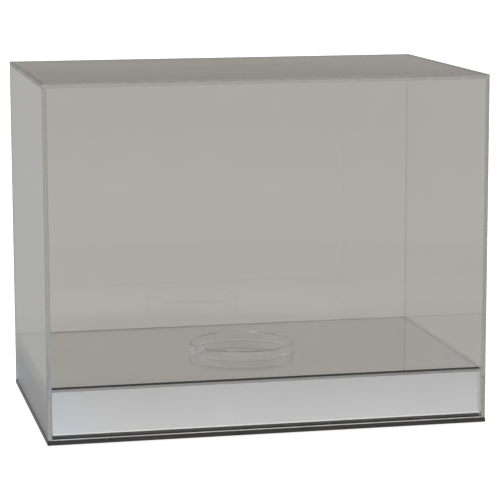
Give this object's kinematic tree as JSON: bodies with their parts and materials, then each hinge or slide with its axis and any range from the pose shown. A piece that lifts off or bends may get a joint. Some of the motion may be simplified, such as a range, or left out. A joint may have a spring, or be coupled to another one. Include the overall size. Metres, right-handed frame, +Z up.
{
  "type": "football display case",
  "caption": "Clear rectangular collectible case: a lift-off cover over a black base plate with a mirrored plinth and a ring that cradles a ball.",
  "frame": {"origin": "centre of the footprint on the plane that the four pads stand on", "axes": "+X to the right along the case's length seen from the front, -Y towards the front, +Z up"},
  "size_m": [0.3084, 0.1986, 0.245],
  "materials": {
    "clear_acrylic": "polished",
    "ring_acrylic": "polished",
    "post_acrylic": "satin",
    "mirror_acrylic": "polished",
    "black_acrylic": "gloss",
    "pad_rubber": "satin"
  },
  "bodies": {
    "base": {"base_plate": "black_acrylic", "plinth_floor": "black_acrylic", "riser_front": "mirror_acrylic", "riser_back": "mirror_acrylic", "riser_left": "mirror_acrylic", "riser_right": "mirror_acrylic", "deck": "mirror_acrylic", "post_front_left": "post_acrylic", "post_front_right": "post_acrylic", "post_back_left": "post_acrylic", "post_back_right": "post_acrylic", "ball_ring": "ring_acrylic", "foot_front_left": "pad_rubber", "foot_front_right": "pad_rubber", "foot_back_left": "pad_rubber", "foot_back_right": "pad_rubber"},
    "cover": {"cover_front": "clear_acrylic", "cover_back": "clear_acrylic", "cover_left": "clear_acrylic", "cover_right": "clear_acrylic", "cover_top": "clear_acrylic"}
  },
  "joints": [
    {"name": "cover_lift", "type": "slide", "parent": "base", "child": "cover", "axis": [0, 0, 1], "range_m": [0, 0.25]}
  ]
}
